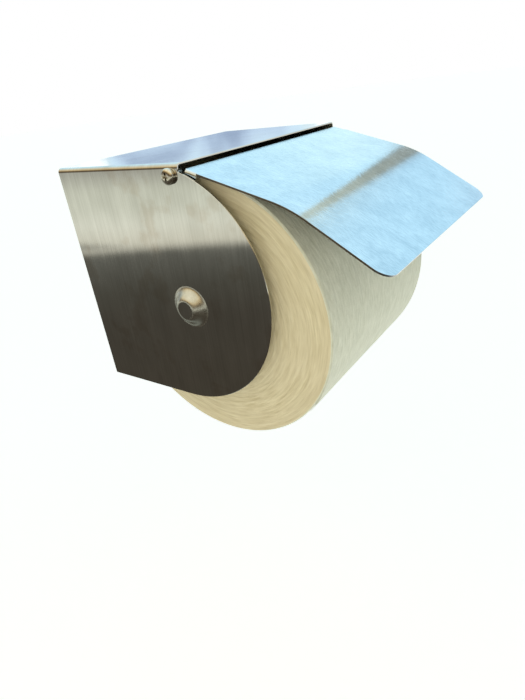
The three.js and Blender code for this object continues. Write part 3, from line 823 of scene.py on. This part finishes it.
bmesh.ops.mirror(lid, geom=lid.verts[:] + lid.edges[:] + lid.faces[:], axis="X", merge_dist=WELD)
face_out(lid, lambda face: face.normal.z > 0.5)
bmesh.ops.solidify(lid, geom=lid.faces[:], thickness=SHEET)
soften(lid, DEBURRING, segments=1, angle=60)
lid.normal_update()
# The lid's side edges take the dark edge material, whose darkness is partly painted shade.
for face in lid.faces:
    if abs(face.normal.x) > SIDE_FACING and face.calc_center_median().y < -EAR_END:
        face.material_index = 1
bmesh.ops.rotate(lid, verts=lid.verts, cent=(0, 0, 0), matrix=Matrix.Rotation(LID_SLOPE, 3, "X"))
bmesh.ops.translate(lid, verts=lid.verts, vec=(0, PIVOT.y, PIVOT.z))
lid.normal_update()
slopes = (LID_SLOPE, LID_SLOPE + LID_BEND_TURN)
upward = [(0, -math.sin(slope), math.cos(slope)) for slope in slopes]
rearward = [(0, math.cos(slope), math.sin(slope)) for slope in slopes]
shade(lid, flats=[(1, 0, 0), *upward, *rearward])
finish_piece("lid_sheet", lid, "lid", [lid_steel_painted_sky, sheared_edge_painted_shade], ["lid"])

# %% [markdown]
# ## Turned pieces
# Screws, washers, tubes, plugs, the core and the roll are all round, so one helper turns a section about
# a line along X. A section is a list of (x, radius) points. `tube_section` is that of a plain tube.


# %% Lathe helper
def lathe(section, centre, steps=64, closed=False):
    bm = bmesh.new()
    verts, edges = chain(bm, [(x, centre.y, centre.z + radius) for x, radius in section])
    if closed:
        edges.append(bm.edges.new((verts[-1], verts[0])))
    bmesh.ops.spin(bm, geom=verts + edges, cent=centre, axis=(1, 0, 0), dvec=(0, 0, 0), angle=math.tau,
                   steps=steps, use_merge=True, use_duplicate=False)
    bmesh.ops.remove_doubles(bm, verts=bm.verts, dist=WELD / 10)
    bmesh.ops.recalc_face_normals(bm, faces=bm.faces)
    return bm


def tube_section(low, high, bore, radius):
    return [(low, bore), (low, radius), (high, radius), (high, bore)]


# %% [markdown]
# ## Bright plated steel
# The screws are steel with a bright nickel plating. It is smoother than brushed sheet, so a small domed
# head shows sharp dark and bright patches. A screwdriver has worn it a little: the marks are drawn
# 0.9 mm wide, where real ones are a tenth of that.

# %% Bright plated steel
screw_steel = plain_finish(
    "bright nickel-plated steel", widths=(0.9, 0.9, 0.9), deep="#BDB5A2", pale="#E4DFD2",
    rough=(0.22, 0.1), bump=(0.8, 0.03), Metallic=1.0)

# %% [markdown]
# ## Pivot screws
# The screws are M3 pan heads. The head is turned, and the cross recess is cut with two tapered bars,
# because a boolean gives the sharp inner corners that a turned shape can't have.

# %% Recess cutters
RECESS_DEPTH = 1.3 * MM
RECESS_SPAN = 4.2 * MM
RECESS_WIDTH = 1.2 * MM
RECESS_TAPER = 0.55


def recess_bar(side, top, across, upward):
    """A bar that narrows towards its bottom, to be cut out of a screw head."""
    bm = bmesh.new()
    bmesh.ops.create_cube(bm, size=1.0, matrix=Matrix.Diagonal((2 * RECESS_DEPTH, across, upward, 1.0)))
    deep = [vert for vert in bm.verts if vert.co.x * side < 0]
    bmesh.ops.scale(bm, verts=deep, vec=(1, RECESS_TAPER, RECESS_TAPER))
    bmesh.ops.translate(bm, verts=bm.verts, vec=(side * top, PIVOT.y, PIVOT.z))
    mesh = bpy.data.meshes.new("recess_bar")
    bm.to_mesh(mesh)
    bm.free()
    return bpy.data.objects.new("recess_bar", mesh)


def cut_with(piece, cutters):
    """Cuts the cutters out of a piece and keeps the result as its mesh."""
    for cutter in cutters:
        bpy.context.scene.collection.objects.link(cutter)
        modifier = piece.modifiers.new("cut", "BOOLEAN")
        modifier.object = cutter
        modifier.solver = "EXACT"
    graph = bpy.context.evaluated_depsgraph_get()
    cut_mesh = bpy.data.meshes.new_from_object(piece.evaluated_get(graph))
    piece.modifiers.clear()
    piece.data = cut_mesh
    for cutter in cutters:
        bpy.data.objects.remove(cutter)
    print("cut", piece.name, len(cut_mesh.polygons), "faces")


# %% Screws
HEAD_RADIUS = 3.2 * MM
HEAD_HEIGHT = 2.2 * MM
HEAD_RIM = 0.45
HEAD_EDGE = 0.15 * MM
DOME_POWER = 0.55
DOME_STEPS = 12
SCREW_STEPS = 48
SHANK_RADIUS = 1.45 * MM
SHANK_CHAMFER = 0.3 * MM
STACK_GAP = 0.1 * MM
PIVOT_AXIS = Vector((0, PIVOT.y, PIVOT.z))

for side, word in ((-1, "left"), (1, "right")):
    screw_end = min(abs(corner.x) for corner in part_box(f"pivot_screw_{word}"))
    seat = HALF_WIDTH + STACK_GAP
    section = [(screw_end, 0), (screw_end, SHANK_RADIUS - SHANK_CHAMFER),
               (screw_end + SHANK_CHAMFER, SHANK_RADIUS), (seat, SHANK_RADIUS),
               (seat, HEAD_RADIUS - HEAD_EDGE), (seat + HEAD_EDGE, HEAD_RADIUS),
               (seat + HEAD_RIM * HEAD_HEIGHT, HEAD_RADIUS)]
    for i in range(1, DOME_STEPS + 1):
        angle = math.pi / 2 * i / DOME_STEPS
        radius = HEAD_RADIUS * math.cos(angle) ** DOME_POWER if i < DOME_STEPS else 0
        section.append((seat + HEAD_HEIGHT * (HEAD_RIM + (1 - HEAD_RIM) * math.sin(angle)), radius))
    screw = lathe([(side * x, radius) for x, radius in section], PIVOT_AXIS, steps=SCREW_STEPS)
    shade(screw, angle=40)
    piece = finish_piece(f"pan_head_screw_{word}", screw, "housing", [screw_steel],
                         [f"pivot_screw_{word}"])
    cut_with(piece, [recess_bar(side, seat + HEAD_HEIGHT, *bar)
                     for bar in ((RECESS_SPAN, RECESS_WIDTH), (RECESS_WIDTH, RECESS_SPAN))])

# %% [markdown]
# ## Nylon
# The washers are moulded from natural nylon, a slightly waxy, creamy white plastic. Its faint mottle
# comes from the mould and is drawn 1.5 mm wide.

# %% Nylon
nylon = plain_finish(
    "moulded natural nylon", widths=(1.5, 1.5, 1.5), deep="#DEDCD2", pale="#F0EEE7",
    rough=(0.42, 0.42), bump=(0.4, 0.01), IOR=1.53)

# %% [markdown]
# ## Washers and nuts
# A nylon washer on each side keeps the lid's ear from scraping on the housing, and a nut holds the
# screw inside the ear. The washer is a short ring with soft edges. The nut starts as a six-sided ring,
# is raised to its height and gets its edges broken.

# %% Washers
WASHER_EDGE = 0.1 * MM

for word in ("left", "right"):
    low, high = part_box(f"pivot_washer_{word}")
    washer = lathe(tube_section(low.x, high.x, PIVOT_HOLE, (high.z - low.z) / 2), PIVOT_AXIS,
                   steps=HOLE_STEPS, closed=True)
    soften(washer, WASHER_EDGE)
    shade(washer)
    finish_piece(f"nylon_washer_{word}", washer, "housing", [nylon], [f"pivot_washer_{word}"])

# %% Nuts
NUT_CORNER = 5.5 * MM / math.sqrt(3)
NUT_EDGE = 0.2 * MM
BORE_STEPS = 32

for word in ("left", "right"):
    low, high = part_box(f"pivot_nut_{word}")
    nut = bmesh.new()
    centre = (low.x, PIVOT.y, PIVOT.z)
    hexagon = circle_edges(nut, centre, NUT_CORNER, 6, start=math.pi / 6)
    bore = circle_edges(nut, centre, SHANK_RADIUS + STACK_GAP, BORE_STEPS)
    fill_flat(nut, hexagon + bore, (-1, 0, 0))
    raised = bmesh.ops.extrude_face_region(nut, geom=nut.faces[:], use_keep_orig=True)
    bmesh.ops.translate(nut, vec=(high.x - low.x, 0, 0), verts=only(bmesh.types.BMVert, raised["geom"]))
    bmesh.ops.recalc_face_normals(nut, faces=nut.faces)
    soften(nut, NUT_EDGE)
    shade(nut, flats=[(1, 0, 0)])
    finish_piece(f"hex_nut_{word}", nut, "housing", [mill_steel], [f"pivot_nut_{word}"])

# %% [markdown]
# ## Chrome, plastic and spring wire
# Chrome plating on a drawn tube mirrors almost cleanly, with a slight haze along the tube. The plugs
# are grey polypropylene with a fine leathery texture from the mould, whose real grain of about 0.1 mm
# is drawn 0.5 mm wide. Spring wire is pulled through a die, which leaves dull grey lines along it.

# %% Chrome, plastic and wire
chrome = plain_finish(
    "chromed steel tube", widths=(12, 3, 3), deep="#D2D4D5", pale="#E4E5E6",
    rough=(0.06, 0.16), bump=(0.3, 0.01), Metallic=1.0)
grey_plastic = plain_finish(
    "moulded grey polypropylene", widths=(0.5, 0.5, 0.5), deep="#868A8B", pale="#989B9C",
    rough=(0.45, 0.45), bump=(0.5, 0.02), IOR=1.49)
spring_wire = plain_finish(
    "drawn spring wire", widths=(0.3, 1.5, 1.5), deep="#7E7F82", pale="#A4A5A8",
    rough=(0.25, 0.4), bump=(0, 0), Metallic=1.0)

# %% [markdown]
# ## Spindle
# The spindle is two chromed tubes that slide into each other, with a spring between them and a grey
# moulded plug with a round pin in each outer end. The tubes' rims are rolled soft, and the plugs' edges
# are rounded as a mould leaves them. All four are turned.

# %% Tubes
TUBE_WALL = 0.8 * MM
TUBE_RIM = 0.3 * MM
TUBE_STEPS = 96

for kind in ("outer", "inner"):
    low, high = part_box(f"spindle_{kind}_tube")
    tube_radius = (high.z - low.z) / 2
    tube = lathe(tube_section(low.x, high.x, tube_radius - TUBE_WALL, tube_radius), SPINDLE,
                 steps=TUBE_STEPS, closed=True)
    soften(tube, TUBE_RIM, segments=4)
    shade(tube)
    finish_piece(f"spindle_{kind}_tube_chromed", tube, f"spindle_{kind}", [chrome],
                 [f"spindle_{kind}_tube"])

# %% Plugs
PIN_RADIUS = 3.4 * MM
PIN_NOSE = 0.6 * PIN_RADIUS
PLUG_FLANGE = 1.6 * MM
PLUG_ROUND = 0.5 * MM
PLUG_EDGE = 0.3 * MM
PLUG_PLAY = 0.05 * MM
NOSE_STEPS = 10
flange_near = abs(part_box("spindle_outer_tube")[0].x) + STACK_GAP
flange_far = flange_near + PLUG_FLANGE

for side, word, body in ((-1, "left", "spindle_outer"), (1, "right", "spindle_inner")):
    low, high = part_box(f"spindle_{word}_plug")
    plug_radius = (high.z - low.z) / 2
    stem_radius = plug_radius - TUBE_WALL - PLUG_PLAY
    back_end, tip = sorted((abs(low.x), abs(high.x)))
    section = [(back_end, 0), (back_end, stem_radius - PLUG_ROUND),
               (back_end + PLUG_ROUND, stem_radius), (flange_near, stem_radius),
               (flange_near, plug_radius), (flange_far, plug_radius), (flange_far, PIN_RADIUS)]
    for i in range(NOSE_STEPS + 1):
        angle = math.pi / 2 * i / NOSE_STEPS
        radius = PIN_RADIUS - PIN_NOSE * (1 - math.cos(angle))
        section.append((tip - PIN_NOSE * (1 - math.sin(angle)), radius))
    section.append((tip, 0))
    plug = lathe([(side * x, radius) for x, radius in section], SPINDLE)
    soften(plug, PLUG_EDGE, segments=3, angle=60)
    shade(plug)
    finish_piece(f"spindle_{word}_end", plug, body, [grey_plastic], [f"spindle_{word}_plug"])

# %% [markdown]
# ## Spring
# The spring is a small circle of wire, spun nine times round the spindle's axis while it moves along
# it.

# %% Spring
WIRE_RADIUS = 0.5 * MM
WIRE_SIDES = 10
SPRING_TURNS = 9
SPRING_STEPS = 28 * SPRING_TURNS
spring_low, spring_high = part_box("spindle_spring")
spring_radius = (spring_high.z - spring_low.z) / 2 - WIRE_RADIUS
spring_length = spring_high.x - spring_low.x - 2 * WIRE_RADIUS

spring = bmesh.new()
bmesh.ops.create_circle(
    spring, cap_ends=True, radius=WIRE_RADIUS, segments=WIRE_SIDES,
    matrix=Matrix.Translation((spring_low.x + WIRE_RADIUS, SPINDLE.y + spring_radius, SPINDLE.z)))
bmesh.ops.spin(spring, geom=spring.faces[:], cent=SPINDLE, axis=(1, 0, 0),
               dvec=(spring_length / SPRING_STEPS, 0, 0), angle=SPRING_TURNS * math.tau,
               steps=SPRING_STEPS, use_duplicate=False)
bmesh.ops.remove_doubles(spring, verts=spring.verts, dist=WELD / 100)
bmesh.ops.recalc_face_normals(spring, faces=spring.faces)
shade(spring, angle=50)
spring_piece = finish_piece("spindle_coil_spring", spring, "spindle_outer", [spring_wire],
                            ["spindle_spring"])
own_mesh(spring_piece)

# %% [markdown]
# ## Paper core
# The core is wound from strips of greyboard, dull brown-grey board with short fibres, at a steep angle,
# which leaves a spiral seam. It is a plain tube with soft rims, and the seam is a thin dark line in the
# material that climbs as it goes round. The fibres are drawn about 1 mm long, near their real size.

# %% Greyboard
SEAM_PITCH = 95 * MM
SEAM_SHARE = 0.012

greyboard, tree, place = new_material("spirally wound greyboard")
centred = add_node(tree, "Mapping", {"Vector": place, "Location": (0, -ROLL.y, -ROLL.z)})[0]
along, inward, upward = add_node(tree, "SeparateXYZ", [centred])
around = add_node(tree, "Math", [upward, inward], operation="ARCTAN2")[0]
turns = add_node(tree, "Math", [around, math.tau], operation="DIVIDE")[0]
seam_walk = add_node(tree, "Math", [along, 1 / SEAM_PITCH, turns], operation="MULTIPLY_ADD")[0]
from_seam = add_node(tree, "Math", [seam_walk, 0.5], operation="PINGPONG")[0]
off_seam = add_node(tree, "MapRange", [from_seam, 0.0, SEAM_SHARE])[0]
fibres = grain(tree, place, (1.2, 0.8, 0.8), detail=4.0)
board = two_tone(tree, fibres, "#8F7B5C", "#AE9A76")
coat(greyboard, {
    "Roughness": 0.92, "Specular IOR Level": 0.25,
    "Base Color": add_node(tree, "Mix", {0: off_seam, 6: srgb("#5F4F38"), 7: board}, data_type="RGBA")[2],
    "Normal": add_node(tree, "Bump", {"Height": fibres, "Strength": 0.5, "Distance": 0.05 * MM})[0]})

# %% Core
CORE_WALL = 0.8 * MM
CORE_RIM = 0.2 * MM
low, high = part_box("paper_core")
core_radius = (high.z - low.z) / 2
core = lathe(tube_section(low.x, high.x, core_radius - CORE_WALL, core_radius), ROLL,
             steps=TUBE_STEPS, closed=True)
soften(core, CORE_RIM)
shade(core)
finish_piece("greyboard_core", core, "paper", [greyboard], ["paper_core"])

# %% [markdown]
# ## Cut edge of the tissue
# Tissue is soft, dull and slightly see-through. Its cut edge is coloured a darker, yellower cream than its
# face: painted light, for the warm light that falls on the end from the left.
# The end of the roll shows the windings as fine rings. Noise laid out by the distance from the axis and
# the direction round it follows them. A single ply of 0.1 mm would not show, so the rings are drawn
# 0.45 mm wide and more.

# %% Tissue end
tissue_end_painted_warm_light, tree, place = new_material("cut edge of wound tissue, painted warm light")
centred = add_node(tree, "Mapping", {"Vector": place, "Location": (0, -ROLL.y, -ROLL.z)})[0]
flat_place = add_node(tree, "VectorMath", [centred, (0, 1, 1)], operation="MULTIPLY")[0]
distance = add_node(tree, "VectorMath", [flat_place], operation="LENGTH")["Value"]
unit = add_node(tree, "VectorMath", [flat_place], operation="NORMALIZE")[0]


def winding(tree, ring_width, arc):
    """Noise that follows the rings: `ring_width` across them, and arcs of `arc` radians along them."""
    rings = add_node(tree, "Math", [distance, ring_width], operation="DIVIDE")[0]
    along = add_node(tree, "VectorMath", {0: unit, "Scale": 1 / arc}, operation="SCALE")[0]
    inward, upward = add_node(tree, "SeparateXYZ", [along])[1:3]
    where = add_node(tree, "CombineXYZ", [rings, inward, upward])[0]
    return add_node(tree, "TexNoise", {"Vector": where, "Scale": 1.0, "Detail": 3.0})["Fac"]


fine_rings = winding(tree, 0.45 * MM, 0.12)
wide_rings = winding(tree, 1.1 * MM, 0.25)
bands = winding(tree, 9 * MM, 0.8)
fuzz = grain(tree, place, (0.5, 0.5, 0.5), detail=3.0)
ring_tone = add_node(tree, "Math", [fine_rings, 0.6, wide_rings], operation="MULTIPLY_ADD")[0]
# These cream tones are painted warm light on the roll's end.
painted_warm_paper_tone = two_tone(tree, ring_tone, "#CABD95", "#E9DFBC", start=0.55, end=1.05)
band_share = add_node(tree, "MapRange", [bands, *GRAIN_RANGE, 0.0, 0.35])[0]
relief = add_node(tree, "Math", [fuzz, 0.35, ring_tone], operation="MULTIPLY_ADD")[0]
banded_painted_warm = add_node(tree, "Mix", {0: band_share, 6: painted_warm_paper_tone, 7: srgb("#DDD2B2")}, data_type="RGBA")[2]
coat(tissue_end_painted_warm_light, {
    "Roughness": 0.95, "Specular IOR Level": 0.2, "Sheen Weight": 0.15, "Sheen Roughness": 0.6,
    "Base Color": banded_painted_warm,
    "Normal": add_node(tree, "Bump", {"Height": relief, "Strength": 0.8, "Distance": 0.3 * MM})[0]})

# %% [markdown]
# ## Face of the tissue
# The outer sheet is creped and wound up under tension, which leaves a soft, fibrous skin with small
# wrinkles that run round the roll. They are drawn 1.3 mm apart, where real ones are about 0.3 mm, and
# wide soft folds lie under them. Its pale grey-green colour is painted light: the cooler light that
# falls on the face from the front.

# %% Tissue face
tissue_face_painted_cool_light, tree, place = new_material("creped tissue face, painted cool light")
crepe = grain(tree, place, (1.3, 5, 5), detail=3.0)
fuzz = grain(tree, place, (0.6, 0.6, 0.6), detail=3.0)
folds = grain(tree, place, (5, 14, 14))
face_tone = add_node(tree, "Math", [fuzz, 0.4, crepe], operation="MULTIPLY_ADD")[0]
face_relief = add_node(tree, "Math", [folds, 1.5, face_tone], operation="MULTIPLY_ADD")[0]
# These grey-green tones are painted cool light on the roll's face.
coat(tissue_face_painted_cool_light, {
    "Roughness": 0.97, "Specular IOR Level": 0.2, "Sheen Weight": 0.2, "Sheen Roughness": 0.6,
    "Base Color": two_tone(tree, face_tone, "#CBCDB6", "#E8E9D6", start=0.4, end=1.0),
    "Normal": add_node(tree, "Bump", {"Height": face_relief, "Strength": 0.8, "Distance": 0.45 * MM})[0]})

# %% [markdown]
# ## Paper roll
# The body is a turned ring. Real windings don't end flush, so the end faces get shallow rings, made by
# moving their vertices in and out by less than 0.2 mm, and the outer face is slightly uneven. Bumps in
# the material would leave the outline perfect, and moved vertices don't.

# %% Roll section
ROLL_BORE = 21.6 * MM
ROLL_RADIUS = 61.2 * MM
RIM_ROUND = 1.0 * MM
RIM_STEPS = 4
END_RINGS = 56
FACE_STRIPS = 60
ROLL_STEPS = 224
roll_low, roll_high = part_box("paper_roll")

end_radii = [ROLL_BORE + (ROLL_RADIUS - RIM_ROUND - ROLL_BORE) * i / END_RINGS for i in range(END_RINGS + 1)]
face_start = roll_low.x + RIM_ROUND
face_width = roll_high.x - RIM_ROUND - face_start
rim_angles = [math.pi / 2 * i / RIM_STEPS for i in range(1, RIM_STEPS)]
rim = [(RIM_ROUND * (1 - math.cos(a)), ROLL_RADIUS - RIM_ROUND * (1 - math.sin(a))) for a in rim_angles]
section = [(roll_low.x, radius) for radius in end_radii]
section += [(roll_low.x + inset, radius) for inset, radius in rim]
section += [(face_start + face_width * i / FACE_STRIPS, ROLL_RADIUS) for i in range(FACE_STRIPS + 1)]
section += [(roll_high.x - inset, radius) for inset, radius in reversed(rim)]
section += [(roll_high.x, radius) for radius in reversed(end_radii)]
roll = lathe(section, ROLL, steps=ROLL_STEPS, closed=True)
roll.normal_update()
print("roll", round(2 * ROLL_RADIUS / MM, 1), "mm across,", len(roll.faces), "faces")

# %% Uneven windings and face
WINDING_DEPTH = 0.10 * MM
WINDING_SINK = 0.35
WINDING_PITCH = 1.4 * MM
WINDING_WAVES = 2.5
SIDE_SHIFT = 7
FACE_WAVE = 0.12 * MM
FACE_PATCH = (9 * MM, 16 * MM)
NEAR = 0.01 * MM

for vert in roll.verts:
    y, z = vert.co.y - ROLL.y, vert.co.z - ROLL.z
    radius = math.hypot(y, z)
    side = -1 if vert.co.x < 0 else 1
    if end_radii[0] + NEAR < radius < end_radii[-1] - NEAR:
        around = WINDING_WAVES / radius
        unevenness = noise.noise(Vector((radius / WINDING_PITCH, around * y, around * z + SIDE_SHIFT * side)))
        vert.co.x += side * WINDING_DEPTH * (unevenness - WINDING_SINK)
    elif radius > ROLL_RADIUS - NEAR:
        wave = noise.noise(Vector((vert.co.x / FACE_PATCH[0], y / FACE_PATCH[1], z / FACE_PATCH[1])))
        vert.co.y += y / radius * FACE_WAVE * wave
        vert.co.z += z / radius * FACE_WAVE * wave
roll.normal_update()
for face in roll.faces:
    middle = face.calc_center_median() - ROLL
    face.material_index = int(math.hypot(middle.y, middle.z) > ROLL_RADIUS - RIM_ROUND / 2)
shade(roll, angle=60)
finish_piece("wound_paper", roll, "paper", [tissue_end_painted_warm_light, tissue_face_painted_cool_light], ["paper_roll"])

# %% [markdown]
# ## Last sheet
# The last sheet is a piece of its own: a strip that lies on the roll and lifts a little at its loose
# end, more at one corner. It is a flat grid, rolled up by moving each vertex to its angle and radius.

# %% Last sheet
TAIL_END = math.radians(219)
TAIL_SPAN = math.radians(120)
TAIL_SHEET = 0.12 * MM
TAIL_GAP = 0.1 * MM
TAIL_MARGIN = 0.4 * MM
TAIL_RIPPLE = 0.08 * MM
TAIL_LIFT = 0.35 * MM
TAIL_LOOSE = 0.2
TAIL_CORNER = 0.55
TAIL_GRID = (64, 90)
TAIL_WAVES = (9, 7)
tail_low = roll_low.x + TAIL_MARGIN
tail_width = roll_high.x - roll_low.x - 2 * TAIL_MARGIN

tail = bmesh.new()
bmesh.ops.create_grid(tail, x_segments=TAIL_GRID[0], y_segments=TAIL_GRID[1], size=0.5)
for vert in tail.verts:
    across, along = vert.co.x + 0.5, vert.co.y + 0.5
    angle = TAIL_END - TAIL_SPAN * (1 - along)
    ripple = TAIL_RIPPLE * noise.noise(Vector((TAIL_WAVES[0] * across, TAIL_WAVES[1] * along, 3)))
    loose = max(along - 1 + TAIL_LOOSE, 0) / TAIL_LOOSE
    corner = 1 - TAIL_CORNER + TAIL_CORNER * (1 - across) ** 3
    lift = TAIL_GAP + ripple + TAIL_LIFT * corner * loose ** 2
    radius = ROLL_RADIUS + lift + FACE_WAVE * (1 - along)
    y, z = ROLL.y + radius * math.cos(angle), ROLL.z + radius * math.sin(angle)
    vert.co = (tail_low + across * tail_width, y, z)
bmesh.ops.recalc_face_normals(tail, faces=tail.faces)
if tail.faces[0].normal.dot(tail.faces[0].calc_center_median() - ROLL) < 0:
    bmesh.ops.reverse_faces(tail, faces=tail.faces)
bmesh.ops.solidify(tail, geom=tail.faces[:], thickness=TAIL_SHEET)
shade(tail, angle=60)
# The last sheet shares the face's material, with its painted cool light.
finish_piece("last_sheet", tail, "paper", [tissue_face_painted_cool_light])
